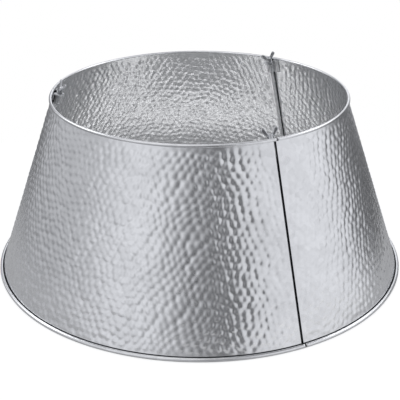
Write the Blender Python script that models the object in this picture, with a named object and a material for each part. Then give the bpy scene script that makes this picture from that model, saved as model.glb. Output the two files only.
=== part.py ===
# A Christmas tree collar of hammered sheet metal: three alike panels stand in a ring that tapers to its top.
# Each panel is rolled outwards round a wire at the top and the base, and turned inwards and hemmed at its two ends.
# At each seam one panel carries a threaded barrel and its neighbour a forked tab, which a wing bolt clamps down.
# Metres, +Z up. The origin is on the floor at the middle of the ring.
import math

import bmesh
import bpy
from mathutils import Matrix, Vector

# The ring
base_radius = 0.330
top_radius = 0.2345
collar_height = 0.282
panel_names = ("front", "right", "back")
seam_names = ("left", "front", "back")
first_seam_angle = math.radians(176.5)
arc_steps = 24

# The sheet and its rolled edges
sheet_thickness = 0.0006
base_bead_radius = 0.003
top_bead_radius = 0.0024
bead_overshoot = 0.0015
bead_end_gap = 0.0022
curl_sweep = math.radians(300)
foot_facet_angle = math.radians(30)
foot_run_steps = 2
curl_rest_steps = 6
wire_gap = 0.0004
wire_end_inset = 0.0015
wire_sides = 8

# The hemmed flanges along a seam
hem_gap = 0.0004
flange_foot_inset = 0.0012
flange_head_inset = 0.0006
flange_depth = 0.008
notch_depth = 0.0032
fold_radius = 0.0006
fold_steps = 3
hem_radius = 0.0004
hem_steps = 3
hem_length = 0.0042

# The bolt's line, and the stack along it down from the sheet's upper end
bolt_depth = 0.010
barrel_drop = 0.0039
barrel_length = 0.0158
seat_gap = 0.0003
tab_thickness = 0.0015
washer_thickness = 0.001
running_gap = 0.00035

# The barrel and the arm that it is welded to
bolt_radius = 0.0025
barrel_radius = 0.0045
barrel_sides = 20
arm_thickness = 0.0015
arm_bite = 0.0006
arm_drop = 0.0252
arm_top_drop = 0.001
arm_top_depth = 0.0045
foot_length = 0.009
foot_bite = 0.0007

# The forked tab
fork_clearance = 0.0006
fork_reach = 0.0012
fork_half_width = 0.0064
fork_flare = math.radians(30)
fork_steps = 6
tab_foot_start = 0.0036
tab_foot_end = 0.0118
tab_foot_drop = 0.013
tab_shoulder = 0.0028
tab_corner_depth = 0.0095
tab_nose = 0.0048

# The wing bolts and their washers
bolt_tip_chamfer = 0.0006
bolt_tip_length = 0.0022
bolt_sides = 16
washer_radius = 0.0062
boss_radius = 0.0046
boss_top_radius = 0.0038
boss_height = 0.0088
boss_crown = 0.001
ear_width = 0.0062
ear_thickness = 0.0024
ear_root_radius = 0.0032
ear_root_height = 0.0040
ear_reach = 0.0125
ear_rise = 0.0182
ear_round_steps = 6
ear_edge_bevel = 0.0006
wing_turns = {"left": math.radians(33.5), "front": math.radians(-20.7), "back": math.radians(51)}

# Places worked out from the sizes above
weld_distance = 0.0000001
panel_angle = 2 * math.pi / len(panel_names)
base_curl_radius = base_bead_radius - sheet_thickness / 2
top_curl_radius = top_bead_radius - sheet_thickness / 2
bead_drop = base_curl_radius * math.cos(foot_facet_angle / 2) + sheet_thickness / 2
base_bead = Vector((base_radius - base_bead_radius, bead_drop))
top_bead = Vector((top_radius - top_bead_radius, collar_height - top_bead_radius))
bead_run = (top_bead - base_bead).normalized()
wall_inward = Vector((-bead_run.y, bead_run.x))
wall_foot = base_bead + base_curl_radius * wall_inward
wall_head = top_bead + top_curl_radius * wall_inward
wall_run = (wall_head - wall_foot).normalized()
wall_lean = math.atan2(-wall_run.x, wall_run.y)
wall_length = (wall_head - wall_foot).length
facet_turn = panel_angle / arc_steps / 2
flange_offset = (hem_gap + sheet_thickness) / 2 + 2 * hem_radius
fold_reach = flange_offset + fold_radius
barrel_top = -barrel_drop
barrel_foot = barrel_top - barrel_length
tab_underside = barrel_top + seat_gap
tab_top = tab_underside + tab_thickness
washer_foot = tab_top + seat_gap
boss_foot = washer_foot + washer_thickness + seat_gap
flange_top = -flange_head_inset
notch_foot = barrel_foot - bolt_tip_length - seat_gap * 2
flange_foot = flange_foot_inset - wall_length
foot_face = sheet_thickness / 2 + seat_gap
barrel_bore = bolt_radius + running_gap
fork_radius = bolt_radius + fork_clearance
shank_length = boss_foot - barrel_foot + bolt_tip_length


def clear_scene():
    for item in list(bpy.data.objects):
        bpy.data.objects.remove(item, do_unlink=True)


def steel(name, colour, roughness):
    finish = bpy.data.materials.new(name)
    finish.use_nodes = True
    shader = finish.node_tree.nodes["Principled BSDF"]
    shader.inputs["Base Color"].default_value = (*colour, 1)
    shader.inputs["Roughness"].default_value = roughness
    shader.inputs["Metallic"].default_value = 1
    return finish


def place(name, mesh, parent=None, local=None):
    """One named object, set by its transform under its parent."""
    item = bpy.data.objects.new(name, mesh)
    bpy.context.scene.collection.objects.link(item)
    item.parent = parent
    item.matrix_local = local or Matrix.Identity(4)
    return item


def finish_mesh(bm, name, finish, sharp=math.radians(35)):
    bmesh.ops.remove_doubles(bm, verts=bm.verts, dist=weld_distance)
    bmesh.ops.recalc_face_normals(bm, faces=bm.faces)
    mesh = bpy.data.meshes.new(name)
    bm.to_mesh(mesh)
    bm.free()
    mesh.materials.append(finish)
    mesh.shade_smooth()
    mesh.set_sharp_from_angle(angle=sharp)
    return mesh


def thicken(item, thickness):
    """Gives a sheet its thickness, half to each side of the surface drawn."""
    wall = item.modifiers.new("thickness", "SOLIDIFY")
    wall.thickness = thickness
    wall.offset = 0
    wall.use_even_offset = True
    return item


def join(item, extra):
    """Joins another object's solid to this one. The other stays as a hidden guide."""
    extra.hide_render = True
    extra.display_type = "WIRE"
    change = item.modifiers.new(extra.name, "BOOLEAN")
    change.operation = "UNION"
    change.object = extra
    return item


def seam_frame(angle):
    """Local X runs round the ring, Y square off the wall to its inside, Z up the wall. It starts where the wall
    meets the top bead."""
    lean = Matrix.Rotation(-wall_lean, 4, "Y")
    axes = Matrix(((0, -1, 0, 0), (1, 0, 0, 0), (0, 0, 1, 0), (0, 0, 0, 1)))
    head = Matrix.Translation((wall_head.x, 0, wall_head.y))
    return Matrix.Rotation(angle, 4, "Z") @ head @ lean @ axes


def arc_points(centre, radius, start, sweep, steps):
    """Points along an arc in a plane, the first and last included."""
    found = []
    for step in range(steps + 1):
        angle = start + sweep * step / steps
        found.append(Vector((centre[0] + radius * math.cos(angle), centre[1] + radius * math.sin(angle))))
    return found


def curl_angles():
    """Angles round the base bead, from the wall, under the foot's flat facet, and on to the free edge."""
    start = math.atan2(wall_inward.y, wall_inward.x) % (2 * math.pi)
    foot_in = 1.5 * math.pi - foot_facet_angle / 2
    foot_out = 1.5 * math.pi + foot_facet_angle / 2
    end = start + curl_sweep
    first = [start + (foot_in - start) * step / foot_run_steps for step in range(foot_run_steps + 1)]
    rest = [foot_out + (end - foot_out) * step / curl_rest_steps for step in range(curl_rest_steps + 1)]
    return first + rest


def on_curl(centre, radius, angle):
    return centre + radius * Vector((math.cos(angle), math.sin(angle)))


def sheet_rows():
    """The sheet's profile as (radius, height), from the base curl's free edge up to the top curl's, and the rows
    where the flanges start, where their notch starts and where they stop."""
    curl = curl_angles()
    lean = math.atan2(wall_inward.y, wall_inward.x)
    base_curl = [on_curl(base_bead, base_curl_radius, angle) for angle in reversed(curl)]
    top_curl = [on_curl(top_bead, top_curl_radius, 2 * lean - angle) for angle in curl]
    marks = [wall_head + wall_run * rise for rise in (flange_foot, notch_foot, flange_top)]
    first = len(base_curl)
    return base_curl + marks + top_curl, (first, first + 1, first + 2)


def flange_path():
    """From the wall round the fold, inwards, and back on itself in a hem that faces its neighbour's across the
    seam, as (across, deep) on the panel's own side. The point at the notch's depth is the one after the fold."""
    fold = arc_points((fold_reach, fold_radius), fold_radius, -math.pi / 2, -math.pi / 2, fold_steps)
    centre = (flange_offset - hem_radius, flange_depth - hem_radius - sheet_thickness / 2)
    hem = arc_points(centre, hem_radius, 0, math.pi, hem_steps)
    end = Vector((flange_offset - 2 * hem_radius, flange_depth - hem_length))
    return fold + [Vector((flange_offset, notch_depth))] + hem + [end], len(fold) + 1


def wall_point(row, angle):
    return Vector((row.x * math.cos(angle), row.x * math.sin(angle), row.y))


def panel_mesh(finish):
    """One panel between the seams at angle 0 and panel_angle: wall, both curls, and a flange at each end. At its
    far seam its beads run a little past the seam, and at its near seam they stop short."""
    rows, (flange_row, notch_row, top_row) = sheet_rows()
    flanged = range(flange_row, top_row + 1)
    bm = bmesh.new()
    grid = []
    for index, row in enumerate(rows):
        angles = [panel_angle * step / arc_steps for step in range(arc_steps + 1)]
        if index in flanged:
            angles[0] = math.asin(fold_reach / row.x)
            angles[-1] = panel_angle - math.asin(fold_reach / row.x)
        else:
            angles[0] = math.asin((bead_overshoot + bead_end_gap) / row.x)
            angles[-1] = panel_angle + math.asin(bead_overshoot / row.x)
        grid.append([bm.verts.new(wall_point(row, angle)) for angle in angles])
    for low, high in zip(grid, grid[1:]):
        for column in range(arc_steps):
            bm.faces.new((low[column], low[column + 1], high[column + 1], high[column]))
    path, kept = flange_path()
    heights = {flange_row: flange_foot, notch_row: notch_foot, top_row: flange_top}
    for column, angle, side in ((0, 0, 1), (-1, panel_angle, -1)):
        frame = seam_frame(angle)
        strips = {}
        for row, height in heights.items():
            reach = path[1:kept] if row == top_row else path[1:]
            points = [frame @ Vector((side * point.x, point.y, height)) for point in reach]
            strips[row] = [grid[row][column]] + [bm.verts.new(point) for point in points]
        for low, high, length in ((flange_row, notch_row, len(path)), (notch_row, top_row, kept)):
            for step in range(length - 1):
                corners = (strips[low][step], strips[low][step + 1], strips[high][step + 1], strips[high][step])
                bm.faces.new(corners if side < 0 else corners[::-1])
    return finish_mesh(bm, "panel", finish)


def wire_mesh(name, bead, radius, finish):
    """A wire in a bead, over one panel."""
    angles = [panel_angle * step / arc_steps for step in range(arc_steps + 1)]
    angles[0] = math.asin((bead_overshoot + bead_end_gap + wire_end_inset) / bead.x)
    angles[-1] = panel_angle + math.asin((bead_overshoot - wire_end_inset) / bead.x)
    ring = arc_points(bead, radius, math.pi / wire_sides, 2 * math.pi, wire_sides)[:-1]
    bm = bmesh.new()
    hoops = [[bm.verts.new(wall_point(point, angle)) for point in ring] for angle in angles]
    for near, far in zip(hoops, hoops[1:]):
        for side in range(wire_sides):
            after = (side + 1) % wire_sides
            bm.faces.new((near[side], near[after], far[after], far[side]))
    bm.faces.new(hoops[0])
    bm.faces.new(hoops[-1])
    return finish_mesh(bm, name, finish)


def prism(name, outline, low, high, finish, upright=Matrix.Identity(4)):
    """A flat outline's solid between two heights, turned as a whole by upright."""
    bm = bmesh.new()
    face = bm.faces.new([bm.verts.new((across, deep, low)) for across, deep in outline])
    grown = bmesh.ops.extrude_face_region(bm, geom=[face])
    moved = [item for item in grown["geom"] if isinstance(item, bmesh.types.BMVert)]
    bmesh.ops.translate(bm, verts=moved, vec=(0, 0, high - low))
    bmesh.ops.transform(bm, matrix=upright, verts=bm.verts)
    return finish_mesh(bm, name, finish)


def turned(name, outline, sides, finish, closed=False):
    """A turned solid round local Z, from (radius, height) pairs that start and end on the axis, or close on
    themselves."""
    bm = bmesh.new()
    corners = [bm.verts.new((radius, 0, height)) for radius, height in outline]
    if closed:
        corners.append(corners[0])
    edges = [bm.edges.new(pair) for pair in zip(corners, corners[1:])]
    bmesh.ops.spin(
        bm, geom=list(set(corners)) + edges, cent=(0, 0, 0), axis=(0, 0, 1), angle=2 * math.pi,
        steps=sides, use_merge=True)
    return finish_mesh(bm, name, finish)


def tube(name, bore, radius, low, high, sides, finish):
    outline = ((bore, low), (radius, low), (radius, high), (bore, high))
    return turned(name, outline, sides, finish, closed=True)


def foot_mesh(side, start, end, drop, top, thickness, finish):
    """A flat foot against the wall's first facet, which stands at a small angle to the seam's own frame."""
    outline = (
        (side * start, foot_face),
        (side * end, foot_face),
        (side * end, foot_face + thickness),
        (side * start, foot_face + thickness),
    )
    turn = Matrix.Rotation(side * facet_turn, 4, "Z")
    return prism("foot", outline, drop, top, finish, turn)


def arm_mesh(finish):
    """The arm beside the barrel, drawn by its side: (deep, up), and its thickness across the seam."""
    outer = barrel_radius - arm_bite + arm_thickness
    root = foot_face + foot_bite
    outline = (
        (root, -arm_drop),
        (bolt_depth, barrel_foot),
        (bolt_depth, barrel_top),
        (arm_top_depth, barrel_top),
        (arm_top_depth, -arm_top_drop),
        (root, -arm_top_drop),
    )
    upright = Matrix(((0, 0, 1, 0), (1, 0, 0, 0), (0, 1, 0, 0), (0, 0, 0, 1)))
    return prism("arm", outline, -outer, arm_thickness - outer, finish, upright)


def tab_outline():
    """The tab from above, as (across, deep): a fork round the bolt that flares as the panels part, and a plate
    out to the wall beside the seam."""
    side_angle = math.pi / 2 - fork_flare
    slot = arc_points((0, bolt_depth), fork_radius, side_angle, -2 * side_angle, fork_steps)
    flare = (fork_radius * math.cos(side_angle) + fork_reach) * math.tan(fork_flare)
    mouth = fork_radius * math.sin(side_angle) + flare
    root = foot_face + foot_bite
    return [
        Vector((-fork_reach, bolt_depth - fork_half_width)),
        Vector((tab_shoulder, bolt_depth - fork_half_width)),
        Vector((tab_foot_start, root)),
        Vector((tab_foot_end, root + tab_foot_end * math.sin(facet_turn))),
        Vector((tab_foot_end, tab_corner_depth)),
        Vector((tab_nose, bolt_depth + fork_half_width)),
        Vector((-fork_reach, bolt_depth + fork_half_width)),
        Vector((-fork_reach, bolt_depth + mouth)),
    ] + slot + [Vector((-fork_reach, bolt_depth - mouth))]


def ear_outline(side):
    """One wing seen from the front, as (across, up): a round-ended bar from the boss out and up."""
    half = ear_width / 2
    root = Vector((ear_root_radius, ear_root_height))
    tip = Vector((ear_reach - half, ear_rise - half))
    run = math.atan2(tip.y - root.y, tip.x - root.x)
    round_end = arc_points(tip, half, run - math.pi / 2, math.pi, ear_round_steps)
    round_root = arc_points(root, half, run + math.pi / 2, math.pi, ear_round_steps)
    return [Vector((side * point.x, point.y)) for point in round_end + round_root]


def ear_mesh(side, finish):
    bm = bmesh.new()
    face = bm.faces.new([bm.verts.new((point.x, -ear_thickness / 2, point.y)) for point in ear_outline(side)])
    grown = bmesh.ops.extrude_face_region(bm, geom=[face])
    moved = [item for item in grown["geom"] if isinstance(item, bmesh.types.BMVert)]
    bmesh.ops.translate(bm, verts=moved, vec=(0, ear_thickness, 0))
    bmesh.ops.recalc_face_normals(bm, faces=bm.faces)
    rims = [edge for edge in bm.edges if abs(edge.verts[0].co.y - edge.verts[1].co.y) < weld_distance]
    bmesh.ops.bevel(
        bm, geom=rims, offset=ear_edge_bevel, segments=1, profile=0.5, affect="EDGES", material=-1)
    return finish_mesh(bm, "ear", finish)


def bolt_core_mesh(finish):
    """Shank and boss. Local Z is 0 at the boss's seat on the washer."""
    tip = -shank_length
    outline = (
        (0, tip),
        (bolt_radius - bolt_tip_chamfer, tip),
        (bolt_radius, tip + bolt_tip_chamfer),
        (bolt_radius, 0),
        (boss_radius, 0),
        (boss_top_radius, boss_height),
        (boss_top_radius / 2, boss_height + boss_crown * math.cos(math.radians(40))),
        (0, boss_height + boss_crown),
    )
    return turned("bolt_core", outline, bolt_sides, finish)


def build():
    clear_scene()
    hammered = steel("hammered_galvanised_sheet", (0.74, 0.75, 0.78), 0.28)
    drawn = steel("drawn_wire", (0.55, 0.55, 0.56), 0.4)
    bracket = steel("galvanised_bracket", (0.58, 0.59, 0.60), 0.42)
    plated = steel("zinc_plated_washer", (0.66, 0.67, 0.68), 0.35)
    cast = steel("zinc_plated_wing_bolt", (0.70, 0.71, 0.72), 0.3)

    arm_outer = barrel_radius - arm_bite + arm_thickness
    barrel = tube("barrel", barrel_bore, barrel_radius, barrel_foot, barrel_top, barrel_sides, bracket)
    arm = arm_mesh(bracket)
    arm_start = arm_outer - arm_thickness / 2
    arm_foot = foot_mesh(-1, arm_start, arm_start + foot_length, -arm_drop, -arm_top_drop, arm_thickness, bracket)
    fork = prism("fork", tab_outline(), tab_underside, tab_top, bracket)
    tab_crown = tab_top - tab_thickness / 2
    tab_foot = foot_mesh(1, tab_foot_start, tab_foot_end, -tab_foot_drop, tab_crown, tab_thickness, bracket)
    washer_top = washer_foot + washer_thickness
    washer = tube("washer", barrel_bore, washer_radius, washer_foot, washer_top, bolt_sides, plated)
    core = bolt_core_mesh(cast)
    ears = {side: ear_mesh(side, cast) for side in (-1, 1)}
    seam_angles = {name: first_seam_angle + index * panel_angle for index, name in enumerate(seam_names)}

    for name, angle in seam_angles.items():
        seam = place(name + "_seam", None, local=seam_frame(angle))
        bolt_line = place(name + "_bolt_line", None, seam, Matrix.Translation((0, bolt_depth, 0)))
        holder = place(f"{name}_seam_barrel", barrel, bolt_line)
        join(holder, place(name + "_arm_guide", arm, seam))
        join(holder, place(name + "_arm_foot_guide", arm_foot, seam))
        tab = place(f"{name}_seam_tab", fork, seam)
        join(tab, place(name + "_tab_foot_guide", tab_foot, seam))
        place(f"{name}_seam_washer", washer, bolt_line)
        turn = Matrix.Translation((0, 0, boss_foot)) @ Matrix.Rotation(wing_turns[name], 4, "Z")
        bolt = place(f"{name}_seam_wing_bolt", core, bolt_line, turn)
        for side, ear in ears.items():
            join(bolt, place(f"{name}_ear_guide_{side}", ear, bolt))

    sheet = panel_mesh(hammered)
    base_wire_radius = base_bead_radius - sheet_thickness - wire_gap
    top_wire_radius = top_bead_radius - sheet_thickness - wire_gap
    wires = {
        "top": wire_mesh("top_wire", top_bead, top_wire_radius, drawn),
        "base": wire_mesh("base_wire", base_bead, base_wire_radius, drawn),
    }
    for index, name in enumerate(panel_names):
        turn = Matrix.Rotation(seam_angles[seam_names[index]], 4, "Z")
        thicken(place(name + "_panel", sheet, local=turn), sheet_thickness)
        for edge, wire in wires.items():
            place(f"{name}_{edge}_wire", wire, local=turn)


build()
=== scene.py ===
# A collar of hammered, galvanised steel for the foot of a Christmas tree.
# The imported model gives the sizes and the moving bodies. This script gives them their hammered sheet, the
# fittings' finer shapes, real finishes and a plain studio.
import math

import bmesh
import bpy
import numpy as np
from mathutils import Matrix, Vector


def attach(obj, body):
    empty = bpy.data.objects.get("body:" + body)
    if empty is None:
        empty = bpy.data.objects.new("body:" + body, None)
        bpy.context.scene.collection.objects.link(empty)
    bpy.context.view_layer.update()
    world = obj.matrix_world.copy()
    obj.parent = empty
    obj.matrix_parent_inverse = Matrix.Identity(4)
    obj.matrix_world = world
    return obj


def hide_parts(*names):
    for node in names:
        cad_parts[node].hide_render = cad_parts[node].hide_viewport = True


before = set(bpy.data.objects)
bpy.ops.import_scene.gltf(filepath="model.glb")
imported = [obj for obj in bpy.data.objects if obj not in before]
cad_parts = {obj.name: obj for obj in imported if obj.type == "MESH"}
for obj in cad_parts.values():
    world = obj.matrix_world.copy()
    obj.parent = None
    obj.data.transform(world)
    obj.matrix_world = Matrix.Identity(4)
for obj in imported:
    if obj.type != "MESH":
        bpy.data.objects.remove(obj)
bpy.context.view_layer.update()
print("frame loaded:", len(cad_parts), "nodes")

# The ring, in metres and degrees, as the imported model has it.
collar = {
    "baseRadius": 0.330,
    "topRadius": 0.2345,
    "height": 0.282,
    "sheet": 0.0006,
    "baseBead": 0.003,            # the radius of the roll round the base wire
    "topBead": 0.0024,
    "firstSeam": 176.5,
    "panelTurn": 120.0,
    "beadOvershoot": 0.0015,      # how far a panel's rolls run past the seam at its far end
    "beadGap": 0.0022,            # from there to the neighbour's rolls
    "curlSweep": 300.0,
    "footFacet": 30.0,            # the stretch of the base roll that stands flat on the floor
}
seamNames = ("left", "front", "back")
panelNames = ("front", "right", "back")
seamOwner = {"left": "back", "front": "front", "back": "right"}     # whose end carries the barrel
seamGuest = {"left": "front", "front": "right", "back": "back"}     # whose end carries the tab

panelTurn = math.radians(collar["panelTurn"])
baseCurl = collar["baseBead"] - collar["sheet"] / 2
topCurl = collar["topBead"] - collar["sheet"] / 2
beadDrop = baseCurl * math.cos(math.radians(collar["footFacet"] / 2)) + collar["sheet"] / 2
baseBead = Vector((collar["baseRadius"] - collar["baseBead"], beadDrop))
topBead = Vector((collar["topRadius"] - collar["topBead"], collar["height"] - collar["topBead"]))
beadRun = (topBead - baseBead).normalized()
wallInward = Vector((-beadRun.y, beadRun.x))
wallFoot = baseBead + baseCurl * wallInward
wallHead = topBead + topCurl * wallInward
wallRun = (wallHead - wallFoot).normalized()
wallLength = (wallHead - wallFoot).length
wallLean = math.atan2(-wallRun.x, wallRun.y)


def seamAngle(name):
    return math.radians(collar["firstSeam"]) + seamNames.index(name) * panelTurn


# Across, inwards and up the wall at a seam, from the wall's upper end.
def seamFrame(angle):
    axes = Matrix(((0, -1, 0, 0), (1, 0, 0, 0), (0, 0, 1, 0), (0, 0, 0, 1)))
    head = Matrix.Translation((wallHead.x, 0, wallHead.y))
    return Matrix.Rotation(angle, 4, "Z") @ head @ Matrix.Rotation(-wallLean, 4, "Y") @ axes


def linear(hexColour):
    channels = [int(hexColour[start:start + 2], 16) / 255 for start in (1, 3, 5)]
    return tuple(c / 12.92 if c <= 0.04045 else ((c + 0.055) / 1.055) ** 2.4 for c in channels) + (1.0,)


# Adds a node. An input goes by its label, with _ for a space, or by its number after an i, and is given a
# value or the output that feeds it.
def addNode(tree, kind, settings=None, **inputs):
    node = tree.nodes.new(kind)
    for key, value in (settings or {}).items():
        setattr(node, key, value)
    for key, value in inputs.items():
        label = int(key[1:]) if key[1:].isdigit() else key.replace("_", " ")
        socket = node.inputs[label]
        if isinstance(value, bpy.types.NodeSocket):
            tree.links.new(value, socket)
        else:
            socket.default_value = value
    return node


# The sheet's finish. Widths and depths are in metres.
galvanised = {
    "light": "#EEEFF1",
    "dark": "#E1E2E4",
    "roughness": (0.20, 0.28),    # of the light crystals and of the dark ones
    "spangle": 0.009,             # a zinc crystal's width
    "spangleShare": 0.45,         # how much a crystal's own grey counts
    "cloud": 0.055,               # slow changes from handling
    "cloudDetail": 4.0,
    "toneFrom": (0.35, 1.05),     # the stretch of the pattern from dark to light
    "polishFrom": (0.3, 1.1),     # and from dull to bright
    "grain": 0.0011,              # the zinc skin's fine ripple
    "grainDetail": 2.0,
    "grainDepth": 0.000012,
}

# The small pieces' finishes
fittingFinishes = {
    # name: light, dark, least and most roughness, grain width, grain depth
    "dullGalvanisedBracket": ("#E2E3E4", "#CBCCCF", 0.34, 0.46, 0.0006, 0.00002),   # dipped: pale and soft
    "zincPlatedWasher": ("#C9CBCD", "#AEB0B3", 0.22, 0.34, 0.0012, 0.00001),        # even, with a low shine
    "castZincWingBolt": ("#DCDDDF", "#A6A8AC", 0.12, 0.22, 0.0005, 0.000015),       # bright, a little uneven
    "drawnSteelWire": ("#A5A6A8", "#838487", 0.30, 0.42, 0.0009, 0.00001),          # plain mid grey
    "foldPaintedShade": ("#3C3E41", "#292B2E", 0.36, 0.50, 0.0012, 0.00002),         # painted shade: dark in the groove at the wall's foot and on the flanges' sides
    "hemPaintedHighlight": ("#F6F6F7", "#E6E7E9", 0.46, 0.58, 0.0010, 0.00001),           # painted highlight: a paler, matt copy of the zinc on the hems' edges
}
fittingStains = {
    "grainsWide": 4,              # a stain's width
    "detail": 4.0,
    "toneFrom": (0.35, 0.65),
    "polishFrom": (0.3, 0.7),
    "grainDetail": 3.0,
}


# A metal whose tone and polish follow a pattern, under a fine grain.
def metalFinish(name, facts, addPattern):
    material = bpy.data.materials.new(name)
    material.use_nodes = True
    tree = material.node_tree
    shader = tree.nodes["Principled BSDF"]
    place = addNode(tree, "ShaderNodeTexCoord").outputs["Object"]
    pattern = addPattern(tree, place, facts)
    start, end = facts["toneFrom"]
    tone = addNode(tree, "ShaderNodeMapRange", None, Value=pattern, From_Min=start, From_Max=end)
    colour = addNode(tree, "ShaderNodeMix", {"data_type": "RGBA"}, Factor=tone.outputs["Result"],
                     i6=linear(facts["dark"]), i7=linear(facts["light"]))
    start, end = facts["polishFrom"]
    bright, dull = facts["roughness"]
    polish = addNode(tree, "ShaderNodeMapRange", None, Value=pattern, From_Min=start, From_Max=end,
                     To_Min=dull, To_Max=bright)
    grain = addNode(tree, "ShaderNodeTexNoise", None, Vector=place, Scale=1 / facts["grain"],
                    Detail=facts["grainDetail"])
    bump = addNode(tree, "ShaderNodeBump", None, Height=grain.outputs["Fac"], Distance=facts["grainDepth"],
                   Strength=1.0)
    tree.links.new(colour.outputs[2], shader.inputs["Base Color"])
    tree.links.new(polish.outputs["Result"], shader.inputs["Roughness"])
    tree.links.new(bump.outputs["Normal"], shader.inputs["Normal"])
    shader.inputs["Metallic"].default_value = 1.0
    return material


# Hot-dip zinc over cold-rolled steel: bright satin with faint crystals and a fine skin ripple.
def addSpangle(tree, place, facts):
    spangle = addNode(tree, "ShaderNodeTexVoronoi", {"feature": "F1"}, Vector=place,
                      Scale=1 / facts["spangle"])
    crystal = addNode(tree, "ShaderNodeSeparateColor", None, Color=spangle.outputs["Color"])
    cloud = addNode(tree, "ShaderNodeTexNoise", None, Vector=place, Scale=1 / facts["cloud"],
                    Detail=facts["cloudDetail"])
    shade = addNode(tree, "ShaderNodeMath", {"operation": "MULTIPLY_ADD"}, i0=crystal.outputs["Red"],
                    i1=facts["spangleShare"], i2=cloud.outputs["Fac"])
    return shade.outputs["Value"]


# Small steel pieces: plated or dipped after forming, so their grain is fine and their tone uneven.
def addStains(tree, place, facts):
    width = facts["grainsWide"] * facts["grain"]
    stain = addNode(tree, "ShaderNodeTexNoise", None, Vector=place, Scale=1 / width, Detail=facts["detail"])
    return stain.outputs["Fac"]


def fittingFinish(name):
    light, dark, bright, dull, grain, depth = fittingFinishes[name]
    facts = {"light": light, "dark": dark, "roughness": (bright, dull), "grain": grain, "grainDepth": depth}
    return metalFinish(name, fittingStains | facts, addStains)


hammeredSteel = metalFinish("hammeredGalvanisedSteel", galvanised, addSpangle)
bracketZinc = fittingFinish("dullGalvanisedBracket")
washerZinc = fittingFinish("zincPlatedWasher")
boltZinc = fittingFinish("castZincWingBolt")
wireSteel = fittingFinish("drawnSteelWire")
# Painted shade: a dark finish for the groove at the wall's foot and the flanges' sides
foldShadeZinc = fittingFinish("foldPaintedShade")
# Painted highlight: a paler copy of the zinc for the hems' edges
hemHighlightZinc = fittingFinish("hemPaintedHighlight")
print("finishes ready")


# A finished piece: its mesh is already in place, and it rides on a body and stands for CAD nodes.
def addPiece(name, bm, material, slot, body, *nodes, sharp=35.0):
    mesh = bpy.data.meshes.new(name)
    bm.to_mesh(mesh)
    bm.free()
    mesh.materials.append(material)
    mesh.shade_smooth()
    mesh.set_sharp_from_angle(angle=math.radians(sharp))
    piece = bpy.data.objects.new(name, mesh)
    bpy.context.scene.collection.objects.link(piece)
    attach(piece, body)
    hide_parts(*nodes)
    return piece


# The hammered panels
panel = {
    "columns": 322,
    "wallRows": (2, 2, 104, 9, 3),  # below the flange, up the bend, beside the flange, its notch, and above
    "bendRise": 0.0040,
    "curlSteps": 10,
    # The blows of the hammer
    "pitch": 0.0112,              # from one blow to the next
    "blankStep": 0.7,             # from one panel's blank to the next along the sheet that they are cut from
    "seed": 11,
    "draws": 256,                 # how many blows each way before their unevenness comes again
    "jitter": 0.11,               # how far a blow falls off its place, as a share of the pitch
    "depthSpread": 0.09,
    "drift": 0.0045,              # how far the rows of blows wander
    "depth": 0.00132,
    "middle": 0.32,               # how far a middling point lies below a bump's top, as a share of the depth
    "bumpReach": 0.55,            # as a share of the pitch
    "crease": 0.42,               # how rounded the creases between bumps are
    "waveDepth": 0.00012,         # the sheet's slow waviness
    "waveLength": 0.085,
    # How often each wave comes in a wave length across and along the sheet, its start and its strength
    "waves": ((1.0, 0.3, 1.3, 1.0), (0.62, -0.9, 4.1, 1.0), (1.45, 0.7, 2.2, 0.6)),
    # Where the wall stays plain, and how far the relief takes to grow from there
    "topPlain": 0.001,
    "basePlain": 0.004,
    "seamPlain": 0.004,
    "fade": 0.011,
    "fittingReach": 0.016,        # beside a seam, where a fitting's feet are
    "fittingDrop": 0.028,
    # The folded and hemmed ends
    "flangeFootInset": 0.0012,    # up from the wall's foot
    "flangeTop": -0.0006,         # up from the wall's upper end
    "flangeOffset": 0.0013,       # from the seam to the middle of the sheet
    "flangeDepth": 0.008,
    "notchDepth": 0.0032,
    "notchFoot": -0.0225,         # up from the wall's upper end
    "foldRadius": 0.0006,
    "foldSteps": 5,
    "hemRadius": 0.0004,
    "hemSteps": 6,
    "hemLength": 0.0042,
}
# Slot of the dark finish, painted shade on the base groove and the flanges' sides
paintedShadeSlot = 1
# Slot of the pale finish, a painted highlight on the hems
paintedHighlightSlot = 2


def arcPoints(centre, radius, start, sweep, steps):
    turns = [start + sweep * step / steps for step in range(steps + 1)]
    return [Vector((centre[0] + radius * math.cos(turn), centre[1] + radius * math.sin(turn)))
            for turn in turns]


# The sheet's profile as (radius, height) rows from the base curl's free edge to the top one's, and each row's
# distance up the wall, or None on a curl.
def panelRows():
    start = math.atan2(wallInward.y, wallInward.x)
    sweep = math.radians(collar["curlSweep"])
    base = arcPoints(baseBead, baseCurl, start + sweep, -sweep, panel["curlSteps"])
    base = [Vector((row.x, max(row.y, collar["sheet"] / 2))) for row in base]
    top = arcPoints(topBead, topCurl, start, -sweep, panel["curlSteps"])
    marks = [0, panel["flangeFootInset"], panel["bendRise"], wallLength + panel["notchFoot"],
             wallLength + panel["flangeTop"], wallLength]
    rises = []
    for low, high, steps in zip(marks, marks[1:], panel["wallRows"]):
        rises += [low + (high - low) * step / steps for step in range(1, steps + 1)]
    rises = rises[:-1]
    wall = [wallFoot + wallRun * rise for rise in rises]
    return base + wall + top, [None] * len(base) + rises + [None] * len(top)


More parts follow.
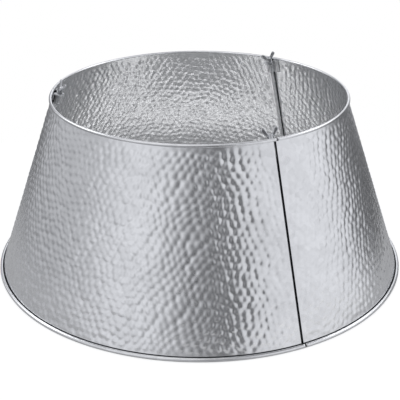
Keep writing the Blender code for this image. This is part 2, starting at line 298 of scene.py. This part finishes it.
# How far the sheet stands out, from about 0.5 on a bump to -0.6 in a crease. The blows fell on its inside, on
# a staggered grid, each a little off its place and of its own weight.
def blowHeights(across, along):
    pitch = panel["pitch"]
    rowStep = pitch * math.sqrt(3) / 2
    rng = np.random.default_rng(panel["seed"])
    size = panel["draws"]
    shiftX = rng.uniform(-1, 1, (size, size)) * panel["jitter"] * pitch
    shiftY = rng.uniform(-1, 1, (size, size)) * panel["jitter"] * pitch
    weight = rng.uniform(-1, 1, (size, size)) * panel["depthSpread"]
    row = np.round(along / rowStep).astype(int)
    soft = panel["crease"]
    total = np.zeros_like(across)
    for rowOff in range(-2, 3):
        j = row + rowOff
        stagger = 0.5 * (j % 2)
        column = np.round(across / pitch - stagger).astype(int)
        for columnOff in range(-2, 3):
            i = column + columnOff
            x = (i + stagger) * pitch + shiftX[i % size, j % size]
            y = j * rowStep + shiftY[i % size, j % size]
            away = ((across - x) ** 2 + (along - y) ** 2) / (panel["bumpReach"] * pitch) ** 2
            total += np.exp(-(away + weight[i % size, j % size]) / soft)
    return panel["middle"] + soft * np.log(total)


# Slow waves over the sheet, between -1 and 1.
def slowWaves(across, along):
    length = panel["waveLength"]
    total = 0
    most = 0
    for acrossRate, alongRate, start, strength in panel["waves"]:
        run = acrossRate * across / length + alongRate * along / length
        total += strength * np.sin(2 * math.pi * run + start)
        most += strength
    return total / most


def smoothRise(value, start, width):
    share = np.clip((value - start) / width, 0, 1)
    return share * share * (3 - 2 * share)


# How far the wall stands out of its plain cone, at a radius, a turn from the panel's first seam and a rise up
# the wall.
def wallRelief(radius, turn, rise, index):
    # The flat sheet before it was rolled: the blows keep one size all over it.
    slant = radius / math.sin(wallLean)
    flatTurn = (turn - panelTurn / 2) * math.sin(wallLean)
    across = slant * np.sin(flatTurn) + index * panel["blankStep"]
    along = slant * np.cos(flatTurn)
    driftX = panel["drift"] * slowWaves(along, across)
    driftY = panel["drift"] * slowWaves(across, -along)
    relief = panel["depth"] * blowHeights(across + driftX, along + driftY)
    relief += panel["waveDepth"] * slowWaves(across, along)
    fromEnd = np.minimum(turn, panelTurn - turn) * radius
    fromTop = wallLength - rise
    share = smoothRise(fromTop, panel["topPlain"], panel["fade"])
    share *= smoothRise(rise, panel["basePlain"], panel["fade"] / 2)
    share *= smoothRise(fromEnd, panel["seamPlain"], panel["fade"] / 2)
    besideFitting = smoothRise(fromEnd, panel["fittingReach"], panel["fade"])
    belowFitting = smoothRise(fromTop, panel["fittingDrop"], panel["fade"])
    return relief * (share * np.maximum(besideFitting, belowFitting))


# A folded end as (across, inwards) points: the part that runs all the way up, and the deeper one with its
# hem, which stops below the notch.
def flangePath():
    offset = panel["flangeOffset"]
    reach = offset + panel["foldRadius"]
    fold = arcPoints((reach, panel["foldRadius"]), panel["foldRadius"], -math.pi / 2, -math.pi / 2,
                     panel["foldSteps"])
    turnDepth = panel["flangeDepth"] - panel["hemRadius"] - collar["sheet"] / 2
    hem = arcPoints((offset - panel["hemRadius"], turnDepth), panel["hemRadius"], 0, math.pi,
                    panel["hemSteps"])
    end = Vector((offset - 2 * panel["hemRadius"], panel["flangeDepth"] - panel["hemLength"]))
    return fold[1:] + [Vector((offset, panel["notchDepth"]))], hem + [end]


# Turns a panel's end inwards, then back on itself below the notch for the fitting.
def addFlange(bm, edges, angle, side):
    toWorld = seamFrame(angle)
    toSeam = toWorld.inverted()
    whole, hemmed = flangePath()
    for index, point in enumerate(whole + hemmed):
        if index == len(whole):
            limit = panel["notchFoot"] + collar["sheet"] / 10
            edges = [edge for edge in edges if max((toSeam @ vert.co).z for vert in edge.verts) < limit]
        grown = bmesh.ops.extrude_edge_only(bm, edges=edges)["geom"]
        fresh = {item for item in grown if isinstance(item, bmesh.types.BMVert)}
        # The flange's shallow part takes the dark finish, painted shade on its side; its deeper, hemmed part
        # takes the pale one, a painted highlight on its edge.
        for item in grown:
            if isinstance(item, bmesh.types.BMFace):
                item.material_index = paintedHighlightSlot if index >= len(whole) else paintedShadeSlot
        for vert in fresh:
            vert.co = toWorld @ Vector((side * point.x, point.y, (toSeam @ vert.co).z))
        edges = [item for item in grown if isinstance(item, bmesh.types.BMEdge) and set(item.verts) <= fresh]


def addPanel(name, index):
    rows, rises = panelRows()
    columns = panel["columns"]
    last = len(rows) - 1
    bm = bmesh.new()
    bmesh.ops.create_grid(bm, x_segments=columns, y_segments=last, size=0.5)
    verts = list(bm.verts)
    flat = np.array([vert.co for vert in verts])
    column = np.round((flat[:, 0] + 0.5) * columns).astype(int)
    row = np.round((flat[:, 1] + 0.5) * last).astype(int)
    radius = np.array([point.x for point in rows])[row]
    height = np.array([point.y for point in rows])[row]
    rise = np.array([np.nan if value is None else value for value in rises])[row]
    onWall = ~np.isnan(rise)
    rise = np.where(onWall, rise, 0)
    slack = collar["sheet"] / 100
    lowest = panel["flangeFootInset"] - slack
    highest = wallLength + panel["flangeTop"] + slack
    flanged = onWall & (rise > lowest) & (rise < highest)
    reach = panel["flangeOffset"] + panel["foldRadius"]
    startInset = np.where(flanged, reach, collar["beadOvershoot"] + collar["beadGap"]) / radius
    endInset = np.where(flanged, reach, -collar["beadOvershoot"]) / radius
    turn = startInset + (panelTurn - startInset - endInset) * column / columns
    relief = np.where(onWall, wallRelief(radius, turn, rise, index), 0)
    start = seamAngle(seamNames[index])
    angle = start + turn
    out = radius - relief * wallInward.x
    up = height - relief * wallInward.y
    for vert, place in zip(verts, np.stack([out * np.cos(angle), out * np.sin(angle), up], axis=1)):
        vert.co = place
    for end, side, at in ((0, 1, start), (columns, -1, start + panelTurn)):
        line = {verts[i] for i in np.nonzero((column == end) & flanged)[0]}
        edges = [item for item in bm.edges if item.is_boundary and set(item.verts) <= line]
        addFlange(bm, edges, at, side)
    # The sharp bend at the foot of the wall, above the bead, gets the dark finish: painted shade for the
    # groove there.
    bend = range(panel["curlSteps"] - 1, panel["curlSteps"] + sum(panel["wallRows"][:2]) + 1)
    bent = {vert for vert, at in zip(verts, row) if at in bend}
    for face in bm.faces:
        if set(face.verts) <= bent:
            face.material_index = paintedShadeSlot
    bmesh.ops.recalc_face_normals(bm, faces=bm.faces)
    piece = addPiece(name + "HammeredPanel", bm, hammeredSteel, "hammered_galvanised_sheet", name,
                     name + "_panel")
    # The dark finish is painted shade, and the pale one is a painted highlight, for the folds and hems
    piece.data.materials.append(foldShadeZinc)
    piece.data.materials.append(hemHighlightZinc)
    wall = piece.modifiers.new("sheet thickness", "SOLIDIFY")
    wall.thickness = collar["sheet"]
    wall.offset = 0
    wall.use_even_offset = True
    return piece


for index, name in enumerate(panelNames):
    piece = addPanel(name, index)
    print(piece.name, len(piece.data.polygons), "faces")

for node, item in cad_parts.items():
    if node.endswith("_wire"):
        item.data.materials.clear()
        item.data.materials.append(wireSteel)


# The brackets, tabs and washers: the CAD shapes with their edges eased
easing = {
    "width": {"barrel": 0.00022, "tab": 0.00030, "washer": 0.00015},
    "segments": 2,
    "weld": 0.000002,
    "flatBelow": 1,               # degrees between two triangles of one flat face
    "cornerFrom": 40,             # degrees between two faces whose edge is eased
}


def easedCopy(node, width):
    bm = bmesh.new()
    bm.from_mesh(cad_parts[node].data)
    bmesh.ops.remove_doubles(bm, verts=bm.verts, dist=easing["weld"])
    flat = math.radians(easing["flatBelow"])
    bmesh.ops.dissolve_limit(bm, angle_limit=flat, verts=bm.verts, edges=bm.edges)
    sharp = math.radians(easing["cornerFrom"])
    corners = [item for item in bm.edges if item.is_manifold and item.calc_face_angle(0) > sharp]
    bmesh.ops.bevel(bm, geom=corners, offset=width, segments=easing["segments"], profile=0.5, affect="EDGES",
                    material=-1, clamp_overlap=True)
    return bm


for seam in seamNames:
    owner, guest = seamOwner[seam], seamGuest[seam]
    kinds = (
        ("barrel", owner, "ThreadedBarrel", bracketZinc, "galvanised_bracket"),
        ("tab", guest, "ForkedTab", bracketZinc, "galvanised_bracket"),
        ("washer", seam + "_washer", "Washer", washerZinc, "zinc_plated_washer"),
    )
    for kind, body, title, finish, slotName in kinds:
        node = f"{seam}_seam_{kind}"
        addPiece(seam + title, easedCopy(node, easing["width"][kind]), finish, slotName, body, node)
print("brackets ready")


# The wing bolts
wingBolt = {
    "depth": 0.010,               # of the bolt's line, inwards from the wall
    "seat": -0.0005,              # of the boss's foot, from the wall's upper end
    "turns": {"left": 33.5, "front": -20.7, "back": 51.0},
    "sharpFrom": 50.0,
    "weld": 0.000001,
    # The threaded shank
    "shankLength": 0.0214,
    "shankRadius": 0.0025,
    "pitch": 0.0008,
    "threadDepth": 0.00042,
    "sides": 28,
    "rowsPerTurn": 6,
    "tipLength": 0.0008,
    "tipTaper": 0.0005,
    # The cast boss and wings, as (out, up) points
    "bossProfile": ((0.0, 0.0), (0.0044, 0.0), (0.0046, 0.0004), (0.0043, 0.0040), (0.0037, 0.0080),
                    (0.0026, 0.0094), (0.0, 0.0098)),
    "bossSides": 32,
    "wing": ((0.0018, 0.0016), (0.0055, 0.0040), (0.0086, 0.0085), (0.0114, 0.0116), (0.0125, 0.0146),
             (0.0116, 0.0173), (0.0094, 0.0182), (0.0071, 0.0172), (0.0052, 0.0138), (0.0030, 0.0096),
             (0.0010, 0.0080)),
    "wingThickness": 0.0022,
    "wingRim": 0.0012,            # its thickness along the edge
    "wingRimWidth": 0.0012,
    "voxel": 0.00032,
    "easeShare": 0.5,
    "easeTimes": 6,
}


# A bar grown as a tube of short rows, whose radius follows the thread's helix.
def threadedShank(toWorld):
    length = wingBolt["shankLength"]
    bm = bmesh.new()
    rows = round(length / wingBolt["pitch"] * wingBolt["rowsPerTurn"])
    outline = [bm.verts.new((wingBolt["shankRadius"], 0, -length * step / rows)) for step in range(rows + 1)]
    edges = [bm.edges.new(pair) for pair in zip(outline, outline[1:])]
    bmesh.ops.spin(bm, geom=outline + edges, cent=(0, 0, 0), axis=(0, 0, 1), angle=2 * math.pi,
                   steps=wingBolt["sides"], use_merge=True)
    bmesh.ops.remove_doubles(bm, verts=bm.verts, dist=wingBolt["weld"])
    for vert in bm.verts:
        turn = math.atan2(vert.co.y, vert.co.x) / (2 * math.pi)
        phase = (vert.co.z / wingBolt["pitch"] - turn) % 1
        groove = wingBolt["threadDepth"] * (1 - abs(2 * phase - 1))
        tip = max(0, 1 - (vert.co.z + length) / wingBolt["tipLength"]) * wingBolt["tipTaper"]
        radius = wingBolt["shankRadius"] - groove - tip
        flat = Vector((vert.co.x, vert.co.y)).normalized() * radius
        vert.co = Vector((flat.x, flat.y, vert.co.z))
    rims = [edge for edge in bm.edges if edge.is_boundary]
    bmesh.ops.holes_fill(bm, edges=rims, sides=0)
    bmesh.ops.recalc_face_normals(bm, faces=bm.faces)
    bmesh.ops.transform(bm, matrix=toWorld, verts=bm.verts)
    return bm


# Boss and two wings about the bolt's own axis, before they are made one.
def headBlank():
    bm = bmesh.new()
    outline = [bm.verts.new((radius, 0, up)) for radius, up in wingBolt["bossProfile"]]
    edges = [bm.edges.new(pair) for pair in zip(outline, outline[1:])]
    bmesh.ops.spin(bm, geom=outline + edges, cent=(0, 0, 0), axis=(0, 0, 1), angle=2 * math.pi,
                   steps=wingBolt["bossSides"], use_merge=True)
    half = wingBolt["wingRim"] / 2
    for side in (-1, 1):
        face = bm.faces.new([bm.verts.new((side * out, -half, up)) for out, up in wingBolt["wing"]])
        grown = bmesh.ops.extrude_face_region(bm, geom=[face])["geom"]
        moved = [item for item in grown if isinstance(item, bmesh.types.BMVert)]
        bmesh.ops.translate(bm, verts=moved, vec=(0, 2 * half, 0))
    bm.normal_update()
    for face in [item for item in bm.faces if len(item.verts) == len(wingBolt["wing"])]:
        side = 1 if face.calc_center_median().y > 0 else -1
        swell = side * (wingBolt["wingThickness"] / 2 - half)
        bmesh.ops.inset_region(bm, faces=[face], thickness=wingBolt["wingRimWidth"], use_even_offset=True)
        bmesh.ops.translate(bm, verts=face.verts, vec=(0, swell, 0))
    bmesh.ops.remove_doubles(bm, verts=bm.verts, dist=wingBolt["weld"])
    bmesh.ops.recalc_face_normals(bm, faces=bm.faces)
    return bm


# The head as one casting: its blank fused and its edges eased.
def castHead():
    bm = headBlank()
    mesh = bpy.data.meshes.new("head blank")
    bm.to_mesh(mesh)
    bm.free()
    blank = bpy.data.objects.new("head blank", mesh)
    bpy.context.scene.collection.objects.link(blank)
    fuse = blank.modifiers.new("fuse", "REMESH")
    fuse.mode = "VOXEL"
    fuse.voxel_size = wingBolt["voxel"]
    ease = blank.modifiers.new("ease", "SMOOTH")
    ease.factor = wingBolt["easeShare"]
    ease.iterations = wingBolt["easeTimes"]
    graph = bpy.context.evaluated_depsgraph_get()
    cast = bpy.data.meshes.new_from_object(blank.evaluated_get(graph))
    bpy.data.objects.remove(blank)
    return cast


cast = castHead()
for seam in seamNames:
    line = seamFrame(seamAngle(seam)) @ Matrix.Translation((0, wingBolt["depth"], wingBolt["seat"]))
    line = line @ Matrix.Rotation(math.radians(wingBolt["turns"][seam]), 4, "Z")
    bm = threadedShank(line)
    head = bmesh.new()
    head.from_mesh(cast)
    bmesh.ops.transform(head, matrix=line, verts=head.verts)
    placed = bpy.data.meshes.new("placed head")
    head.to_mesh(placed)
    head.free()
    bm.from_mesh(placed)
    bpy.data.meshes.remove(placed)
    piece = addPiece(seam + "WingBolt", bm, boltZinc, "zinc_plated_wing_bolt", seam + "_wing_bolt",
                     seam + "_seam_wing_bolt", sharp=wingBolt["sharpFrom"])
print("wing bolts ready:", len(piece.data.polygons), "faces each")


# The studio
studio = {
    "floor": "#C6C6C6",
    "floorRoughness": 0.9,
    "floorSize": 1.0,
    "floorDrop": 0.0003,
    "floorLift": 0.74,            # the floor's own glow, to the camera
    # What the metal mirrors of that glow, and more of it in front on the right
    "floorGlossShare": 0.18,
    "litGlossShare": 0.70,
    "litGlossWay": (0.5, -0.87, 0),
    "litGlossFrom": (0.32, 0.42),
    "roomTint": "#F5F6FA",
    # The room that the metal mirrors: where a wall stands, in degrees round from behind the camera (to the
    # right), and how bright it is.
    "roomWalls": ((-180, 1.11), (-166, 0.89), (-156, 0.30), (-144, 0.37), (-128, 0.62), (-86, 0.59),
                  (-57, 0.80), (-38, 0.89), (-18, 0.62), (-6, 0.41), (4, 0.27), (14, 0.14), (20, 0.14),
                  (26, 0.76), (50, 0.85), (86, 0.92), (106, 0.62), (128, 0.21), (146, 0.28), (160, 1.11),
                  (180, 1.11)),
    "ceilingLeast": 0.34,         # above the dark part of the walls
    "ceilingShare": 0.64,         # of the wall's own brightness, added to it
    "ceilingFrom": (0.20, 0.62),
    "crownFrom": (0.78, 0.95),    # straight above, where the ceiling is darker
    "crownShare": 0.30,
    "roomFloorShare": 0.45,       # of the wall's brightness, below it
    "roomFloorDrop": 0.30,
    "litFloorShare": 0.90,        # on the right, where the room's floor is lit
    "litFloorWay": (0.87, -0.5, 0),
    "litFloorFrom": (0.66, 0.92),
}


# Matt paper: it takes the shadow, and looks as white as the background.
def floorPaper():
    paper = bpy.data.materials.new("paleStudioPaper")
    paper.use_nodes = True
    tree = paper.node_tree
    shader = tree.nodes["Principled BSDF"]
    shader.inputs["Base Color"].default_value = linear(studio["floor"])
    shader.inputs["Roughness"].default_value = studio["floorRoughness"]
    shader.inputs["Specular IOR Level"].default_value = 0.0
    ray = addNode(tree, "ShaderNodeLightPath")
    place = addNode(tree, "ShaderNodeTexCoord").outputs["Object"]
    along = addNode(tree, "ShaderNodeVectorMath", {"operation": "DOT_PRODUCT"}, i0=place,
                    i1=studio["litGlossWay"])
    near, far = studio["litGlossFrom"]
    share = addNode(tree, "ShaderNodeMapRange", None, Value=along.outputs["Value"], From_Min=near,
                    From_Max=far, To_Min=studio["floorGlossShare"], To_Max=studio["litGlossShare"])
    seen = addNode(tree, "ShaderNodeMath", {"operation": "MULTIPLY_ADD"}, i0=ray.outputs["Is Glossy Ray"],
                   i1=share.outputs["Result"], i2=ray.outputs["Is Camera Ray"])
    lift = addNode(tree, "ShaderNodeMath", {"operation": "MULTIPLY"}, i0=seen.outputs["Value"],
                   i1=studio["floorLift"])
    shader.inputs["Emission Color"].default_value = (1, 1, 1, 1)
    tree.links.new(lift.outputs["Value"], shader.inputs["Emission Strength"])
    return paper


def addFloor():
    bm = bmesh.new()
    bmesh.ops.create_grid(bm, x_segments=1, y_segments=1, size=studio["floorSize"] / 2)
    bmesh.ops.translate(bm, verts=bm.verts, vec=(0, 0, -studio["floorDrop"]))
    mesh = bpy.data.meshes.new("floor")
    bm.to_mesh(mesh)
    bm.free()
    floor = bpy.data.objects.new("floor", mesh)
    bpy.context.scene.collection.objects.link(floor)
    mesh.materials.append(floorPaper())


# The brightness of the wall that stands in a direction.
def roomWalls(tree, way):
    back = addNode(tree, "ShaderNodeMath", {"operation": "MULTIPLY"}, i0=way.outputs["Y"], i1=-1.0)
    turn = addNode(tree, "ShaderNodeMath", {"operation": "ARCTAN2"}, i0=way.outputs["X"],
                   i1=back.outputs["Value"])
    share = addNode(tree, "ShaderNodeMapRange", None, Value=turn.outputs["Value"], From_Min=-math.pi,
                    From_Max=math.pi)
    walls = addNode(tree, "ShaderNodeFloatCurve", None, Value=share.outputs["Result"])
    curve = walls.mapping.curves[0]
    points = [((angle + 180) / 360, level) for angle, level in studio["roomWalls"]]
    curve.points[0].location = points[0]
    curve.points[1].location = points[-1]
    for point in points[1:-1]:
        curve.points.new(*point)
    walls.mapping.update()
    return walls.outputs["Value"]


# A white background to the camera, and to everything else a studio's grey walls, which the metal mirrors.
def addWorld():
    world = bpy.data.worlds.new("studio")
    bpy.context.scene.world = world
    world.use_nodes = True
    tree = world.node_tree
    tree.nodes.clear()
    direction = addNode(tree, "ShaderNodeTexCoord").outputs["Generated"]
    way = addNode(tree, "ShaderNodeSeparateXYZ", None, Vector=direction)
    walls = roomWalls(tree, way)
    along = addNode(tree, "ShaderNodeVectorMath", {"operation": "DOT_PRODUCT"}, i0=direction,
                    i1=studio["litFloorWay"])
    near, far = studio["litFloorFrom"]
    lit = addNode(tree, "ShaderNodeMapRange", None, Value=along.outputs["Value"], From_Min=near, From_Max=far,
                  To_Min=studio["roomFloorShare"], To_Max=studio["litFloorShare"])
    down = addNode(tree, "ShaderNodeMapRange", None, Value=way.outputs["Z"],
                   From_Min=-studio["roomFloorDrop"], From_Max=0.0, To_Min=lit.outputs["Result"])
    lower = addNode(tree, "ShaderNodeMath", {"operation": "MULTIPLY"}, i0=walls, i1=down.outputs["Result"])
    upper = addNode(tree, "ShaderNodeMath", {"operation": "MULTIPLY_ADD"}, i0=walls,
                    i1=studio["ceilingShare"], i2=studio["ceilingLeast"])
    foot, head = studio["ceilingFrom"]
    up = addNode(tree, "ShaderNodeMapRange", {"interpolation_type": "SMOOTHSTEP"}, Value=way.outputs["Z"],
                 From_Min=foot, From_Max=head)
    level = addNode(tree, "ShaderNodeMix", None, Factor=up.outputs["Result"], i2=lower.outputs["Value"],
                    i3=upper.outputs["Value"])
    start, end = studio["crownFrom"]
    crown = addNode(tree, "ShaderNodeMapRange", None, Value=way.outputs["Z"], From_Min=start, From_Max=end,
                    To_Min=1.0, To_Max=studio["crownShare"])
    strength = addNode(tree, "ShaderNodeMath", {"operation": "MULTIPLY"}, i0=level.outputs["Result"],
                       i1=crown.outputs["Result"])
    room = addNode(tree, "ShaderNodeBackground", None, Color=linear(studio["roomTint"]),
                   Strength=strength.outputs["Value"])
    white = addNode(tree, "ShaderNodeBackground", None, Color=(1, 1, 1, 1), Strength=1.0)
    ray = addNode(tree, "ShaderNodeLightPath")
    mix = addNode(tree, "ShaderNodeMixShader", None, i0=ray.outputs["Is Camera Ray"],
                  i1=room.outputs["Background"], i2=white.outputs["Background"])
    addNode(tree, "ShaderNodeOutputWorld", None, Surface=mix.outputs["Shader"])


# The lamps
lamps = {
    "aim": (0.0, 0.0, 0.14),
    # name: degrees round from behind the camera, lift, distance, size across and up, radiance
    "boxes": {
        "topBox": (-40, 74, 2.2, (1.6, 1.6), 0.71),
        "leftBox": (-112, 40, 2.2, (1.5, 0.9), 1.7),
        "rightBox": (112, 40, 2.2, (1.5, 0.9), 1.7),
    },
    # Narrow spots from above, round on the floor inside the ring, which the inside of its wall mirrors
    "spotPlace": (0.0, -0.1, 1.6),
    "spotReach": 0.176,
    "spotTurns": (-34, 214),
    "spotCount": 16,
    "spotCone": 4.2,
    "spotBlend": 0.9,
    "spotPower": 67.0,
    "spotSoftness": 0.02,
}


def addLamp(name, lamp, place, aim):
    item = bpy.data.objects.new(name, lamp)
    bpy.context.scene.collection.objects.link(item)
    item.location = place
    item.rotation_euler = (aim - item.location).to_track_quat("-Z", "Y").to_euler()
    return item


def addSoftBox(name, turn, lift, distance, size, radiance):
    lamp = bpy.data.lights.new(name, "AREA")
    lamp.shape = "RECTANGLE"
    lamp.size, lamp.size_y = size
    lamp.energy = radiance * math.pi * size[0] * size[1]
    turn, lift = math.radians(turn), math.radians(lift)
    away = Vector((math.sin(turn) * math.cos(lift), -math.cos(turn) * math.cos(lift), math.sin(lift)))
    aim = Vector(lamps["aim"])
    item = addLamp(name, lamp, aim + away * distance, aim)
    item.visible_diffuse = False


def addSpots():
    first, last = lamps["spotTurns"]
    for index in range(lamps["spotCount"]):
        turn = math.radians(first + (last - first) * index / (lamps["spotCount"] - 1))
        lamp = bpy.data.lights.new("innerSpot", "SPOT")
        lamp.spot_size = math.radians(lamps["spotCone"])
        lamp.spot_blend = lamps["spotBlend"]
        lamp.energy = lamps["spotPower"]
        lamp.shadow_soft_size = lamps["spotSoftness"]
        aim = Vector((lamps["spotReach"] * math.cos(turn), lamps["spotReach"] * math.sin(turn), 0))
        item = addLamp("innerSpot", lamp, lamps["spotPlace"], aim)
        item.visible_glossy = False


# The camera, fitted to the photograph
photoView = {
    "place": (0.0, -1.4005, 0.7381),
    "aim": (0.0, 0.0, 0.1409),
    "lens": 84.06,
    "sensor": 36.0,
    "shift": (0.00115, -0.0664),
}


def addCamera():
    lens = bpy.data.cameras.new("photoView")
    lens.lens = photoView["lens"]
    lens.sensor_width = photoView["sensor"]
    lens.shift_x, lens.shift_y = photoView["shift"]
    camera = bpy.data.objects.new("photoView", lens)
    bpy.context.scene.collection.objects.link(camera)
    camera.location = photoView["place"]
    line = Vector(photoView["aim"]) - Vector(photoView["place"])
    camera.rotation_euler = line.to_track_quat("-Z", "Y").to_euler()
    bpy.context.scene.camera = camera


addFloor()
addWorld()
for name, facts in lamps["boxes"].items():
    addSoftBox(name, *facts)
addSpots()
addCamera()
bpy.context.scene.view_settings.view_transform = "Standard"
print("studio ready")
